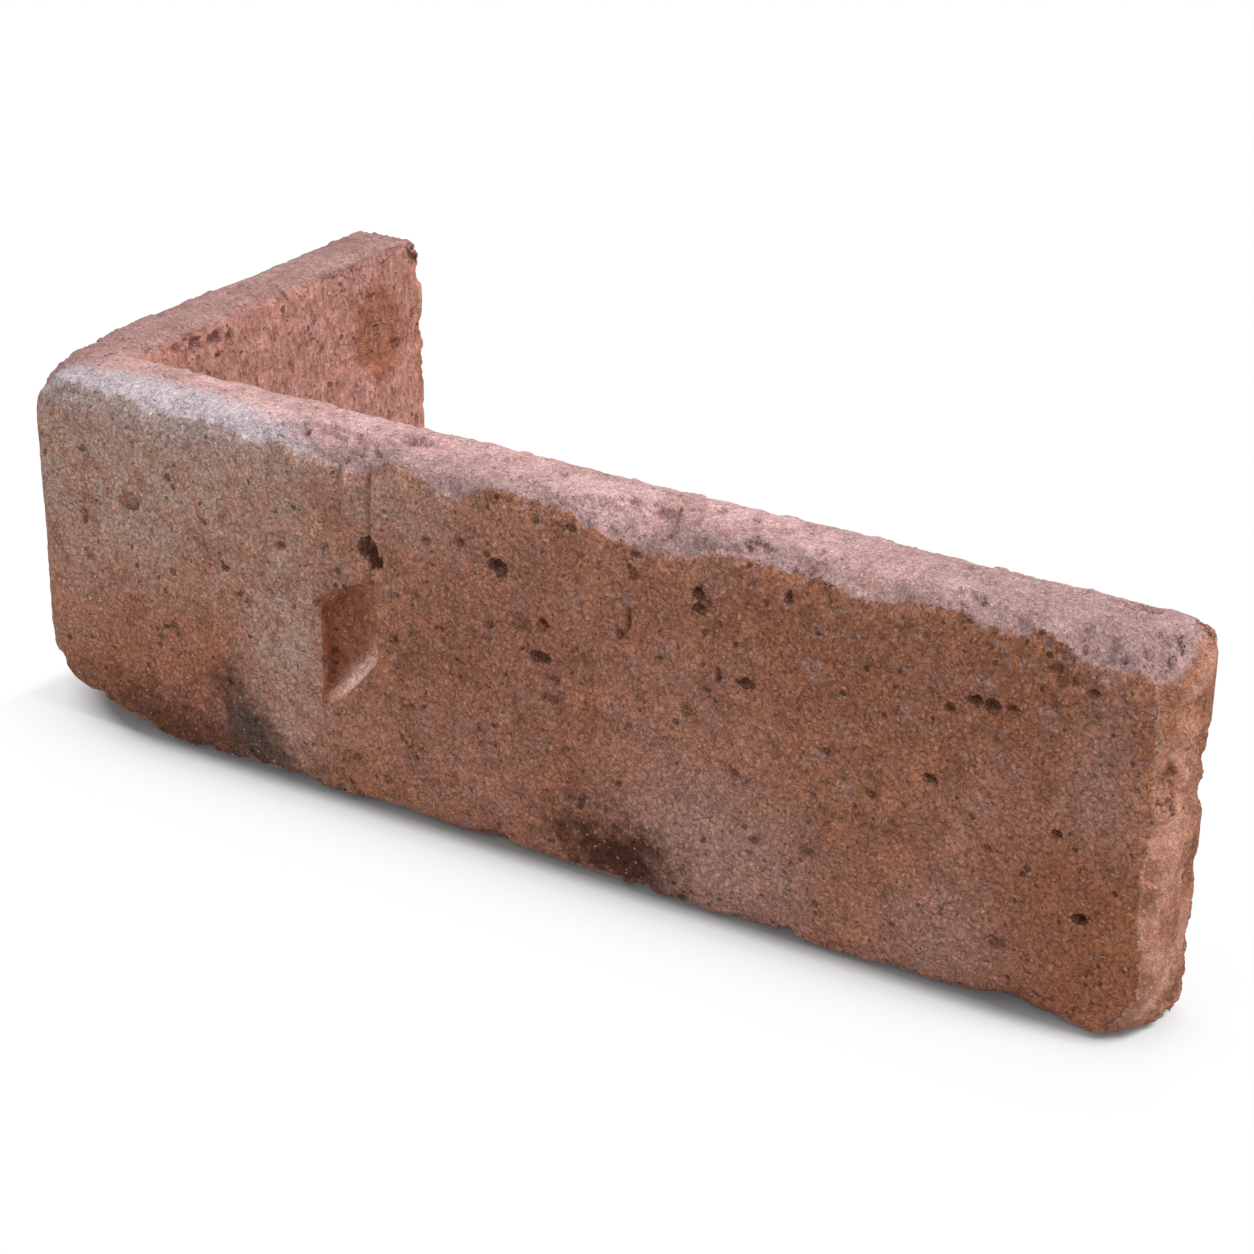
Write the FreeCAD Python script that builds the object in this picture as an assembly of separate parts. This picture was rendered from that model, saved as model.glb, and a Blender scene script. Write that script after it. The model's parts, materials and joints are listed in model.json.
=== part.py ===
"""Corner brick slip: one L-shaped piece of fired clay that wraps the outside corner of a wall.

The long leg carries the stretcher face and the short leg the header face. Both outer faces are the
brick's own moulded faces, with worn arrises, chips, a dent and open pits. Both inner faces are sawn
flat, and are bonded to the wall. Millimetres, +Z up: the slip stands on its lower bed with the origin
in the middle of its footprint, +X runs along the stretcher leg towards its free end, and -Y is the way
the stretcher face looks.
"""

import math
import os

import FreeCAD
import Part

# Overall sizes: a 215 x 102.5 x 65 brick format, cut down to a slip.
STRETCHER_LENGTH = 215.0
HEADER_LENGTH = 102.5
HEIGHT = 65.0
STRETCHER_THICKNESS = 17.0
HEADER_THICKNESS = 14.0

# Rounded upright corners of the plan.
OUTER_CORNER_RADIUS = 8.0
STRETCHER_END_RADIUS = 4.0
HEADER_END_RADIUS = 6.0
INNER_CORNER_RADIUS = 4.0

# Arrises where the beds meet the moulded faces and the ends, worn round. Those of the sawn faces are crisp.
UPPER_ARRIS_RADIUS = 3.2
LOWER_ARRIS_RADIUS = 2.2

# Corners knocked off in handling: (leg end, bed, reach along X, reach along Y, reach along Z).
KNOCKED_CORNERS = [
    ("outer", "lower", 14.0, 14.0, 20.0),
    ("outer", "lower", 34.0, 30.0, 9.0),
    ("outer", "upper", 12.0, 16.0, 9.0),
    ("stretcher_end", "lower", 8.0, 10.0, 8.0),
    ("stretcher_end", "upper", 9.0, 10.0, 8.0),
]

# Chips along the arrises of the stretcher face: (bed, share of the leg's length, half length, depth).
ARRIS_CHIPS = [
    ("upper", 0.163, 14.0, 2.6),
    ("upper", 0.243, 9.0, 3.0),
    ("upper", 0.337, 7.0, 3.6),
    ("upper", 0.421, 9.0, 3.8),
    ("upper", 0.597, 14.0, 4.2),
    ("upper", 0.763, 12.0, 3.2),
    ("upper", 0.87, 8.0, 3.0),
    ("upper", 0.947, 11.0, 4.0),
    ("lower", 0.253, 7.0, 2.4),
    ("lower", 0.378, 8.0, 2.6),
    ("lower", 0.471, 6.0, 2.4),
    ("lower", 0.90, 9.0, 3.4),
]

# The dent in the stretcher face: the place of its lower left corner, its rim, and the floor it narrows to.
DENT_ALONG = 0.302
DENT_UP = 0.262
DENT_RIM = [(0.0, 0.0), (12.5, 12.0), (12.5, 15.0), (10.0, 24.5), (0.0, 19.5)]
DENT_FLOOR = [(0.8, 4.0), (9.0, 12.0), (9.6, 15.0), (8.0, 21.5), (0.8, 18.0)]
DENT_DEPTH = 3.6
DENT_FLOOR_RISE = 0.24

# Open pits left by burnt-out grains: (face, share of the face's length, share of its width, radius, depth).
PITS = [
    ("stretcher", 0.352, 0.722, 2.3, 2.4),
    ("stretcher", 0.470, 0.783, 2.0, 1.8),
    ("stretcher", 0.114, 0.696, 2.2, 1.2),
    ("stretcher", 0.509, 0.666, 1.5, 1.4),
    ("stretcher", 0.508, 0.568, 1.8, 1.5),
    ("stretcher", 0.641, 0.846, 1.8, 1.4),
    ("stretcher", 0.681, 0.661, 1.5, 1.3),
    ("stretcher", 0.872, 0.762, 2.4, 1.5),
    ("stretcher", 0.946, 0.296, 1.7, 1.4),
    ("header", 0.620, 0.37, 1.8, 1.6),
    ("upper_bed", 0.372, 0.44, 2.3, 2.4),
    ("upper_bed", 0.950, 0.55, 2.0, 1.8),
]

# How far a cutter stands out of the surface that it cuts, and the slack in comparing places.
CUTTER_CLEARANCE = 1.0
SAME_PLACE = 1e-6

X_HEADER_FACE = -STRETCHER_LENGTH / 2
X_STRETCHER_END = STRETCHER_LENGTH / 2
Y_STRETCHER_FACE = -HEADER_LENGTH / 2
Y_HEADER_END = HEADER_LENGTH / 2
X_HEADER_BOND = X_HEADER_FACE + HEADER_THICKNESS
Y_STRETCHER_BOND = Y_STRETCHER_FACE + STRETCHER_THICKNESS


def rounded_wire(corners):
    """A closed plan outline from (x, y, radius) corners, with an arc at each corner that has a radius."""
    starts, middles, ends = [], [], []
    for i, (x, y, radius) in enumerate(corners):
        here = FreeCAD.Vector(x, y, 0)
        before = FreeCAD.Vector(*corners[i - 1][:2], 0) - here
        after = FreeCAD.Vector(*corners[(i + 1) % len(corners)][:2], 0) - here
        before.normalize()
        after.normalize()
        bisector = before + after
        bisector.normalize()
        half_angle = before.getAngle(after) / 2
        starts.append(here + before * (radius / math.tan(half_angle)))
        middles.append(here + bisector * (radius / math.sin(half_angle) - radius))
        ends.append(here + after * (radius / math.tan(half_angle)))
    edges = []
    for i in range(len(corners)):
        if corners[i][2] > 0:
            edges.append(Part.Arc(starts[i], middles[i], ends[i]).toShape())
        edges.append(Part.LineSegment(ends[i], starts[(i + 1) % len(corners)]).toShape())
    return Part.Wire(edges)


def plan_outline():
    """The L-shaped plan. The corners between a sawn face and an end stay square."""
    return rounded_wire(
        [
            (X_HEADER_FACE, Y_STRETCHER_FACE, OUTER_CORNER_RADIUS),
            (X_STRETCHER_END, Y_STRETCHER_FACE, STRETCHER_END_RADIUS),
            (X_STRETCHER_END, Y_STRETCHER_BOND, 0.0),
            (X_HEADER_BOND, Y_STRETCHER_BOND, INNER_CORNER_RADIUS),
            (X_HEADER_BOND, Y_HEADER_END, 0.0),
            (X_HEADER_FACE, Y_HEADER_END, HEADER_END_RADIUS),
        ]
    )


def is_sawn(edge):
    """Whether an edge of a bed lies inside the L's inner angle, where the sawn faces are."""
    middle = edge.valueAt((edge.FirstParameter + edge.LastParameter) / 2)
    right_of_header = X_HEADER_BOND - SAME_PLACE < middle.x < X_STRETCHER_END - SAME_PLACE
    behind_stretcher = Y_STRETCHER_BOND - SAME_PLACE < middle.y < Y_HEADER_END - SAME_PLACE
    return right_of_header and behind_stretcher


def worn_edges(solid, z):
    """The edges of the bed at height z that aren't sawn."""
    bed = [edge for edge in solid.Edges if all(abs(vertex.Z - z) < SAME_PLACE for vertex in edge.Vertexes)]
    return [edge for edge in bed if not is_sawn(edge)]


def blank():
    """The L with its worn arrises rounded."""
    solid = Part.Face(plan_outline()).extrude(FreeCAD.Vector(0, 0, HEIGHT))
    solid = solid.makeFillet(UPPER_ARRIS_RADIUS, worn_edges(solid, HEIGHT))
    return solid.makeFillet(LOWER_ARRIS_RADIUS, worn_edges(solid, 0.0))


def faceted_solid(polygons):
    """One solid from flat polygons that close on each other."""
    faces = [Part.Face(Part.makePolygon([*points, points[0]])) for points in polygons]
    solid = Part.makeSolid(Part.makeShell(faces))
    if solid.Volume < 0:
        solid.reverse()
    return solid


def knocked_corner(end, bed, reach_x, reach_y, reach_z):
    """A three-sided cutter that takes a corner off, given how far it reaches along each edge."""
    corner_x, inward_x = (X_HEADER_FACE, 1) if end == "outer" else (X_STRETCHER_END, -1)
    corner_z, inward_z = (0.0, 1) if bed == "lower" else (HEIGHT, -1)
    inward = FreeCAD.Vector(inward_x, 1, inward_z)
    apex = FreeCAD.Vector(corner_x, Y_STRETCHER_FACE, corner_z) - inward * CUTTER_CLEARANCE
    # The apex stands clear of the brick, so the tips move out along the same far face.
    grow = 1 + CUTTER_CLEARANCE * (1 / reach_x + 1 / reach_y + 1 / reach_z)
    tip_x = apex + FreeCAD.Vector(inward_x * reach_x * grow, 0, 0)
    tip_y = apex + FreeCAD.Vector(0, reach_y * grow, 0)
    tip_z = apex + FreeCAD.Vector(0, 0, inward_z * reach_z * grow)
    sides = [(apex, tip_x, tip_y), (apex, tip_y, tip_z), (apex, tip_z, tip_x)]
    return faceted_solid([*sides, (tip_x, tip_y, tip_z)])


def hollow(point, outward, radius, depth):
    """A ball that leaves a round hollow of that rim radius and depth around a point of the surface."""
    ball_radius = (radius**2 + depth**2) / (2 * depth)
    return Part.makeSphere(ball_radius, point + outward * (ball_radius - depth))


def arris_chip(bed, along, half_length, depth):
    """A shell-shaped flake struck off an arris of the stretcher face."""
    z, outward_z = (0.0, -1) if bed == "lower" else (HEIGHT, 1)
    outward = FreeCAD.Vector(0, -1, outward_z)
    outward.normalize()
    arris = FreeCAD.Vector(X_HEADER_FACE + along * STRETCHER_LENGTH, Y_STRETCHER_FACE, z)
    return hollow(arris, outward, half_length, depth)


def pit(face, along, across, radius, depth):
    """An open pit. Along counts from the outer corner, and across from the lower bed or, for a pit in the
    upper bed, from the stretcher face.
    """
    x = X_HEADER_FACE + along * STRETCHER_LENGTH
    if face == "stretcher":
        point = FreeCAD.Vector(x, Y_STRETCHER_FACE, across * HEIGHT)
        outward = FreeCAD.Vector(0, -1, 0)
    elif face == "header":
        point = FreeCAD.Vector(X_HEADER_FACE, Y_STRETCHER_FACE + along * HEADER_LENGTH, across * HEIGHT)
        outward = FreeCAD.Vector(-1, 0, 0)
    else:
        point = FreeCAD.Vector(x, Y_STRETCHER_FACE + across * STRETCHER_THICKNESS, HEIGHT)
        outward = FreeCAD.Vector(0, 0, 1)
    return hollow(point, outward, radius, depth)


def dent():
    """The pressed-in dent: steep along its left rim, with a flat floor that rises to the right."""
    left = X_HEADER_FACE + DENT_ALONG * STRETCHER_LENGTH
    bottom = DENT_UP * HEIGHT

    def ring(points, depth, rise):
        y = Y_STRETCHER_FACE + depth
        corners = [FreeCAD.Vector(left + x, y - rise * x, bottom + z) for x, z in points]
        return Part.makePolygon([*corners, corners[0]])

    rim = ring(DENT_RIM, -CUTTER_CLEARANCE, 0.0)
    floor = ring(DENT_FLOOR, DENT_DEPTH, DENT_FLOOR_RISE)
    return Part.makeLoft([rim, floor], True, True)


def corner_slip():
    """The whole slip, as one solid."""
    cutters = [knocked_corner(*row) for row in KNOCKED_CORNERS]
    cutters += [arris_chip(*row) for row in ARRIS_CHIPS]
    cutters += [pit(*row) for row in PITS]
    cutters.append(dent())
    solid = blank()
    for cutter in cutters:
        solid = solid.cut(cutter)
    return solid.removeSplitter().Solids[0]


def main():
    os.makedirs("parts", exist_ok=True)
    slip = corner_slip()
    print(f"corner_slip: valid {slip.isValid()}, {len(slip.Faces)} faces, {slip.Volume / 1000:.1f} cm3")
    slip.exportStep("parts/corner_slip.step")


main()
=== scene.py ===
"""Corner brick slip: the fired-clay finish of the slip, and the stage that it is shown on.

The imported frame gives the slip's solid at its real size. The slip is modelled as one weathered piece that
starts from that solid: it is remeshed finely, worn along its arrises, pitted and roughened by a geometry node
tree, thinned to fewer triangles and given a map and a procedural material. Lengths are metres in Blender's own
properties, and millimetres inside the node trees.
"""

import json
import math

import bpy
import numpy as np
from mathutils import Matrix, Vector


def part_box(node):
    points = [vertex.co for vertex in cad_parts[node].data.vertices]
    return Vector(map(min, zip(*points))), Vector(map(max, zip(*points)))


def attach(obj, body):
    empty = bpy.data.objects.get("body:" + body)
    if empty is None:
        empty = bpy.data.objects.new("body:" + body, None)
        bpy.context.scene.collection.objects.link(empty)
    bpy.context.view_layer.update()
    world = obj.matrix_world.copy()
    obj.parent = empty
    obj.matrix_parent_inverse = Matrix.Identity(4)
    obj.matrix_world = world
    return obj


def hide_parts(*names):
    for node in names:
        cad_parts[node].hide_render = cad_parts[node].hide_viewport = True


bl_info = {
    "name": "Corner Brick Slip",
    "version": (1, 0, 0),
    "blender": (4, 5, 0),
    "location": "3D View > Sidebar > Brick Slip",
    "description": "Models a weathered corner brick slip around its packed frame, and sets its stage",
    "category": "Object",
}

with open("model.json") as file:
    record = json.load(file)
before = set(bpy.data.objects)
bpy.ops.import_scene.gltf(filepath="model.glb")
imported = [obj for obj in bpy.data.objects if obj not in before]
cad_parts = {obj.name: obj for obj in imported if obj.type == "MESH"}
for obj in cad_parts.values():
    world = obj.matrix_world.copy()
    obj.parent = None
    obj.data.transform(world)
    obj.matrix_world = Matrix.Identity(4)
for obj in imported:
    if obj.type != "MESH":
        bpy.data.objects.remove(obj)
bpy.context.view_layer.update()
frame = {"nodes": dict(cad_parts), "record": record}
SLIP_LOW, SLIP_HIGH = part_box("corner_slip")
MOUNTS = {mount["name"]: Vector(mount["pos_m"]) for mount in frame["record"]["mounts"]}

MM = 0.001
# The slip's own measures in millimetres, read off the frame. Places on the slip count from its outer corner.
LENGTH, WIDTH, HEIGHT = (SLIP_HIGH - SLIP_LOW) / MM
STRETCHER_THICKNESS = (MOUNTS["stretcher_bond_face"].y - SLIP_LOW.y) / MM
HEADER_THICKNESS = (MOUNTS["header_bond_face"].x - SLIP_LOW.x) / MM
OUTER_ROUND = 8.0

PIECE_NAME = "fired_brick_slip"
# Pits at least this deep also get a sharp rim in the material, and painted shade under their upper sides.
SHARP_PIT_DEPTH = 1.2

# Open pits and slits in the stretcher face: (along, up, half width, half height, depth).
FACE_PITS = [
    (75.6, 47.9, 1.8, 2.7, 3.2),
    (76.6, 46.0, 1.7, 1.5, 3.6),
    (14.3, 39.9, 0.7, 1.9, 1.0),
    (24.4, 44.6, 2.4, 1.8, 1.1),
    (101.0, 50.8, 1.8, 1.3, 1.9),
    (105.4, 42.0, 2.6, 1.5, 0.7),
    (109.3, 43.0, 1.1, 1.1, 1.4),
    (109.1, 37.1, 1.8, 1.1, 1.3),
    (111.1, 30.3, 2.2, 1.0, 0.8),
    (125.4, 47.9, 0.6, 2.2, 1.0),
    (137.7, 55.2, 1.1, 1.1, 1.5),
    (138.3, 52.9, 1.0, 1.0, 1.2),
    (141.7, 42.7, 0.7, 1.6, 0.9),
    (146.5, 42.4, 1.4, 0.8, 1.2),
    (153.4, 58.7, 0.8, 1.2, 1.2),
    (184.6, 49.9, 1.1, 0.8, 1.3),
    (187.4, 49.5, 1.3, 0.9, 1.9),
    (190.6, 50.0, 1.7, 0.6, 1.0),
    (180.7, 47.7, 0.8, 0.8, 1.1),
    (178.3, 35.2, 1.3, 0.8, 1.5),
    (160.6, 35.1, 1.0, 0.7, 0.9),
    (145.1, 26.7, 1.2, 0.8, 0.9),
    (196.6, 58.2, 1.2, 0.9, 1.0),
    (199.0, 32.3, 1.0, 0.7, 1.2),
    (188.1, 26.6, 1.3, 0.6, 0.8),
    (203.4, 19.4, 1.4, 0.8, 1.6),
    (190.8, 11.4, 1.7, 1.1, 0.9),
    (158.5, 16.8, 1.3, 0.8, 1.0),
    (149.0, 16.0, 0.9, 0.8, 0.9),
    (168.9, 30.0, 0.9, 0.9, 0.9),
    (49.9, 31.9, 1.0, 0.9, 0.6),
    (33.0, 23.4, 1.4, 1.2, 0.6),
]
# The groove that runs down from the arris to the largest pit and on to the dent, as small pits: (along, up).
GROOVE = [(75.8, 59.6), (76.1, 57.2), (75.7, 54.7), (75.9, 52.3), (75.6, 49.8), (75.7, 42.9)]
# The half width, half height and depth of each pit of the groove.
GROOVE_REACH = (0.5, 1.9, 0.5)
# How far past its own face a listed pit still reaches.
PIT_THROUGH = 3.0
# Pits in the upper bed: (along, across, half length, half width, depth).
BED_PITS = [
    (78.2, 9.6, 2.6, 1.6, 2.0),
    (80.7, 9.2, 1.4, 1.0, 1.4),
    (200.0, 13.0, 1.6, 0.9, 1.2),
    (203.0, 12.8, 2.4, 1.3, 1.9),
    (205.9, 12.6, 1.6, 0.9, 1.2),
    (27.3, 9.6, 2.2, 0.6, 0.7),
    (55.0, 11.4, 2.6, 0.6, 0.6),
    (95.4, 8.8, 2.0, 0.6, 0.7),
    (176.7, 11.7, 1.2, 0.9, 1.2),
    (182.0, 8.4, 1.6, 0.7, 1.3),
    (149.4, 12.9, 1.8, 0.5, 0.6),
    (127.8, 10.7, 1.5, 0.6, 0.6),
    (112.0, 14.2, 1.6, 0.5, 0.7),
    (66.0, 13.8, 1.4, 0.5, 0.7),
    (165.0, 14.8, 1.8, 0.5, 0.8),
]
# Pits in the header's sawn face: (in from the stretcher face, up, half width, half height, depth).
INNER_PITS = [
    (32.2, 61.6, 2.2, 1.8, 1.8),
    (37.1, 61.2, 1.9, 2.0, 1.6),
    (41.6, 60.1, 1.4, 1.6, 1.2),
    (27.3, 62.0, 1.5, 1.2, 1.0),
    (85.3, 48.7, 3.2, 2.6, 0.9),
    (93.3, 44.3, 2.6, 1.2, 0.9),
    (99.0, 47.4, 1.2, 2.6, 1.0),
]

# How far each worn arris of the stretcher face is cut back: (along, cut).
UPPER_WEAR = [
    (0, 0.8), (11, 0.5), (20, 1.0), (31, 0.8), (37, 0.6), (45, 1.0), (50, 1.8), (54, 2.6), (60, 3.4),
    (66, 4.2), (71, 3.9), (77, 2.7), (81, 0.9), (86, 2.1), (93, 2.9), (99, 0.6), (105, 1.5), (112, 2.0),
    (117, 3.8), (124, 4.8), (128, 5.0), (133, 2.8), (138, 2.3), (147, 2.6), (155, 3.0), (161, 0.9),
    (168, 1.4), (175, 1.4), (181, 2.9), (185, 2.3), (191, 1.4), (197, 2.1), (203, 2.4), (208, 3.9),
    (215, 6.4),
]
LOWER_WEAR = [
    (0, 6.4), (10, 6.4), (17, 4.4), (25, 2.6), (33, 1.6), (46, 1.9), (55, 2.1), (66, 1.6), (80, 2.0),
    (90, 0.8), (98, 0.6), (102, 3.4), (106, 0.7), (115, 0.9), (124, 0.6), (128, 2.8), (132, 0.6),
    (148, 0.5), (155, 2.4), (160, 0.5), (175, 0.5), (184, 0.7), (189, 3.0), (196, 3.2), (201, 1.4),
    (207, 2.2), (215, 4.2),
]
# The same for the stretcher's outer end arris: (up, cut).
END_WEAR = [
    (0, 2.4), (9, 1.0), (21, 1.1), (31, 1.2), (36, 2.4), (44, 2.4), (50, 1.4), (57, 1.2), (65, 3.0),
]
# The same for the upper arris of the header face: (in from the stretcher face, cut).
HEADER_WEAR = [(0, 2.6), (8, 3.8), (16, 3.8), (26, 2.8), (34, 2.2), (60, 2.4), (103, 2.4)]


class Field:
    """A value inside a node tree. Arithmetic on it adds the nodes that work the result out."""

    def __init__(self, sheet, socket):
        self.sheet = sheet
        self.socket = socket

    def __add__(self, other):
        return self.sheet.math("ADD", self, other)

    def __sub__(self, other):
        return self.sheet.math("SUBTRACT", self, other)

    def __rsub__(self, other):
        return self.sheet.math("SUBTRACT", other, self)

    def __mul__(self, other):
        return self.sheet.math("MULTIPLY", self, other)

    def __truediv__(self, other):
        return self.sheet.math("DIVIDE", self, other)

    def __pow__(self, other):
        return self.sheet.math("POWER", self, other)

    def __abs__(self):
        return self.sheet.math("ABSOLUTE", self)

    __radd__ = __add__
    __rmul__ = __mul__

    def least(self, other):
        return self.sheet.math("MINIMUM", self, other)

    def most(self, other):
        return self.sheet.math("MAXIMUM", self, other)

    def root(self):
        return self.sheet.math("SQRT", self)

    def step(self, low, high, to_low=0.0, to_high=1.0):
        """A smooth step of this value from low to high."""
        values = {"Value": self, "From Min": low, "From Max": high, "To Min": to_low, "To Max": to_high}
        return self.sheet.node("ShaderNodeMapRange", values, interpolation_type="SMOOTHSTEP").out("Result")


class Placed:
    """A node on a sheet, whose outputs are asked for by name."""

    def __init__(self, sheet, node):
        self.sheet = sheet
        self.node = node

    def out(self, name):
        sockets = [s for s in self.node.outputs if s.name == name and s.enabled]
        return Field(self.sheet, sockets[0])


class Sheet:
    """A node tree that is written as sums and calls."""

    def __init__(self, tree):
        self.tree = tree

    def node(self, kind, values=None, **settings):
        placed = self.tree.nodes.new(kind)
        for name, value in settings.items():
            setattr(placed, name, value)
        for name, value in (values or {}).items():
            socket = placed.inputs[name] if isinstance(name, int) else self.socket(placed, name)
            self.feed(socket, value)
        return Placed(self, placed)

    @staticmethod
    def socket(placed, name):
        return [s for s in placed.inputs if s.name == name and s.enabled][0]

    def feed(self, socket, value):
        if isinstance(value, Field):
            self.tree.links.new(value.socket, socket)
        else:
            socket.default_value = value

    def math(self, operation, *values):
        return self.node("ShaderNodeMath", dict(enumerate(values)), operation=operation).out("Value")

    def vector_math(self, operation, *values, result="Vector"):
        return self.node("ShaderNodeVectorMath", dict(enumerate(values)), operation=operation).out(result)

    def scaled(self, vector, factor):
        return self.node("ShaderNodeVectorMath", {0: vector, "Scale": factor}, operation="SCALE").out("Vector")

    def split(self, vector):
        placed = self.node("ShaderNodeSeparateXYZ", {0: vector})
        return [placed.out(axis) for axis in "XYZ"]

    def join(self, x, y, z):
        return self.node("ShaderNodeCombineXYZ", {0: x, 1: y, 2: z}).out("Vector")

    def noise(self, place, size, detail=2.0, roughness=0.5, distortion=0.0):
        """Even noise about 0.5 with lumps of that size in millimetres."""
        values = {
            "Vector": place,
            "Scale": 1.0 / size,
            "Detail": detail,
            "Roughness": roughness,
            "Distortion": distortion,
        }
        placed = self.node("ShaderNodeTexNoise", values)
        return Field(self, placed.node.outputs[0])

    def uneven(self, place, size, height, *look):
        """The same noise about 0, with that height between its least and its most."""
        return (self.noise(place, size, *look) - 0.5) * height

    def cells(self, place, size):
        """How far the nearest of scattered points is, as a share of the millimetres between them."""
        return self.node("ShaderNodeTexVoronoi", {"Vector": place, "Scale": 1.0 / size}).out("Distance")

    def moved(self, place, *offset):
        """Places moved by an offset, so that two patterns there differ."""
        return self.vector_math("ADD", place, offset)

    def stretched(self, place, rise):
        """Places that make a pattern longer upwards, where the rise is less than 1."""
        return self.vector_math("MULTIPLY", place, (1.0, 1.0, rise))

    def wandered(self, place, size, reach):
        """Places shaken by about the reach, in lumps of a size, so that a pattern there loses its neatness."""
        values = {"Vector": place, "Scale": 1.0 / size, "Detail": 2.0}
        colour = self.node("ShaderNodeTexNoise", values).out("Color")
        shake = self.vector_math("SUBTRACT", colour, (0.5, 0.5, 0.5))
        return self.vector_math("ADD", place, self.scaled(shake, 4 * reach))

    def curve(self, value, points):
        """A smooth curve through points, given as (place, value), from place 0 to the last."""
        span = points[-1][0]
        top = max(point[1] for point in points)
        placed = self.node("ShaderNodeFloatCurve", {"Value": value / float(span)})
        line = placed.node.mapping.curves[0].points
        line[0].location = (0.0, points[0][1] / top)
        line[1].location = (1.0, points[-1][1] / top)
        for where, height in points[1:-1]:
            line.new(where / span, height / top)
        placed.node.mapping.update()
        return placed.out("Value") * top

    def mixed(self, mask, first, second, blend="MIX"):
        """The first colour where the mask is 0 and the second where it is 1."""
        placed = self.node("ShaderNodeMix", data_type="RGBA", blend_type=blend)
        inputs = [s for s in placed.node.inputs if s.enabled]
        for socket, value in zip(inputs, (mask, first, second)):
            self.feed(socket, value)
        return Field(self, [s for s in placed.node.outputs if s.enabled][0])


def blank_sheet(owner):
    """A sheet over the emptied node tree of a material or a world."""
    owner.use_nodes = True
    owner.node_tree.nodes.clear()
    return Sheet(owner.node_tree)


def colour_of(values):
    return (*values, 1.0)


# --- places on the slip, shared by the node trees -----------------------------------------------------------


class Place:
    """Where a point lies on the slip, in millimetres from its outer corner, and how deep below each face."""

    def __init__(self, sheet, position):
        shifted = sheet.vector_math("SUBTRACT", position, tuple(SLIP_LOW))
        self.at = sheet.scaled(shifted, 1 / MM)
        self.along, self.inward, self.up = sheet.split(self.at)
        self.below_top = HEIGHT - self.up
        self.from_end = LENGTH - self.along
        self.from_header_end = WIDTH - self.inward
        over_x = (OUTER_ROUND - self.along).most(0.0)
        over_y = (OUTER_ROUND - self.inward).most(0.0)
        # The moulded skin wraps the outer corner as one rounded face.
        self.below_skin = OUTER_ROUND - (over_x * over_x + over_y * over_y).root()
        self.to_stretcher_bond = abs(self.inward - STRETCHER_THICKNESS)
        self.to_header_bond = abs(self.along - HEADER_THICKNESS)


# --- the slip's shape ---------------------------------------------------------------------------------------


def only_selected(piece):
    bpy.ops.object.select_all(action="DESELECT")
    piece.select_set(True)
    bpy.context.view_layer.objects.active = piece


def copied_solid():
    """A copy of the slip's solid, with its loose triangles joined into one closed mesh."""
    solid = frame["nodes"]["corner_slip"]
    piece = bpy.data.objects.new(PIECE_NAME, solid.data.copy())
    bpy.context.collection.objects.link(piece)
    piece.data.materials.clear()
    only_selected(piece)
    bpy.ops.object.mode_set(mode="EDIT")
    bpy.ops.mesh.select_all(action="SELECT")
    bpy.ops.mesh.remove_doubles(threshold=1e-6)
    bpy.ops.object.mode_set(mode="OBJECT")
    return piece


def pit_marks():
    """A cloud of points that carries each pit's reach along the axes and its depth, in millimetres."""
    through = PIT_THROUGH
    rows = [((x, 0.0, z), (rx, through, rz), depth) for x, z, rx, rz, depth in FACE_PITS]
    half_width, half_height, groove_depth = GROOVE_REACH
    rows += [((x, 0.0, z), (half_width, through, half_height), groove_depth) for x, z in GROOVE]
    rows += [((x, y, HEIGHT), (rx, ry, through), depth) for x, y, rx, ry, depth in BED_PITS]
    rows += [((HEADER_THICKNESS, y, z), (through, ry, rz), depth) for y, z, ry, rz, depth in INNER_PITS]
    mesh = bpy.data.meshes.new("pit_marks")
    mesh.from_pydata([Vector(SLIP_LOW) + Vector(place) * MM for place, _, _ in rows], [], [])
    mesh.attributes.new("reach", "FLOAT_VECTOR", "POINT")
    mesh.attributes.new("depth", "FLOAT", "POINT")
    for i, (_, radii, deep) in enumerate(rows):
        mesh.attributes["reach"].data[i].vector = radii
        mesh.attributes["depth"].data[i].value = deep
    marks = bpy.data.objects.new("pit_marks", mesh)
    bpy.context.collection.objects.link(marks)
    return marks


def put_modifier(piece, kind, **settings):
    """Add a modifier to the piece and apply it."""
    only_selected(piece)
    modifier = piece.modifiers.new(kind.title(), kind)
    for name, value in settings.items():
        setattr(modifier, name, value)
    bpy.ops.object.modifier_apply(modifier=modifier.name)


class Wearing(Sheet):
    """The geometry node tree that weathers the slip. Each step takes the geometry on from the last."""

    def __init__(self, name):
        tree = bpy.data.node_groups.new(name, "GeometryNodeTree")
        tree.interface.new_socket("Geometry", in_out="INPUT", socket_type="NodeSocketGeometry")
        tree.interface.new_socket("Geometry", in_out="OUTPUT", socket_type="NodeSocketGeometry")
        super().__init__(tree)
        self.geometry = self.node("NodeGroupInput").out("Geometry")

    def place(self):
        return Place(self, self.node("GeometryNodeInputPosition").out("Position"))

    def shift(self, offset_mm):
        """Move every point by an offset in millimetres."""
        values = {"Geometry": self.geometry, "Offset": self.scaled(offset_mm, MM)}
        self.geometry = self.node("GeometryNodeSetPosition", values).out("Geometry")

    def keep(self, name, value, kind="FLOAT"):
        """Store a value on the points under a name."""
        values = {"Geometry": self.geometry, "Name": name, "Value": value}
        stored = self.node("GeometryNodeStoreNamedAttribute", values, data_type=kind, domain="POINT")
        self.geometry = stored.out("Geometry")

    def kept(self, name, kind="FLOAT"):
        return self.node("GeometryNodeInputNamedAttribute", {"Name": name}, data_type=kind).out("Attribute")

    def close(self):
        self.node("NodeGroupOutput", {"Geometry": self.geometry})
        return self.tree


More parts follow.
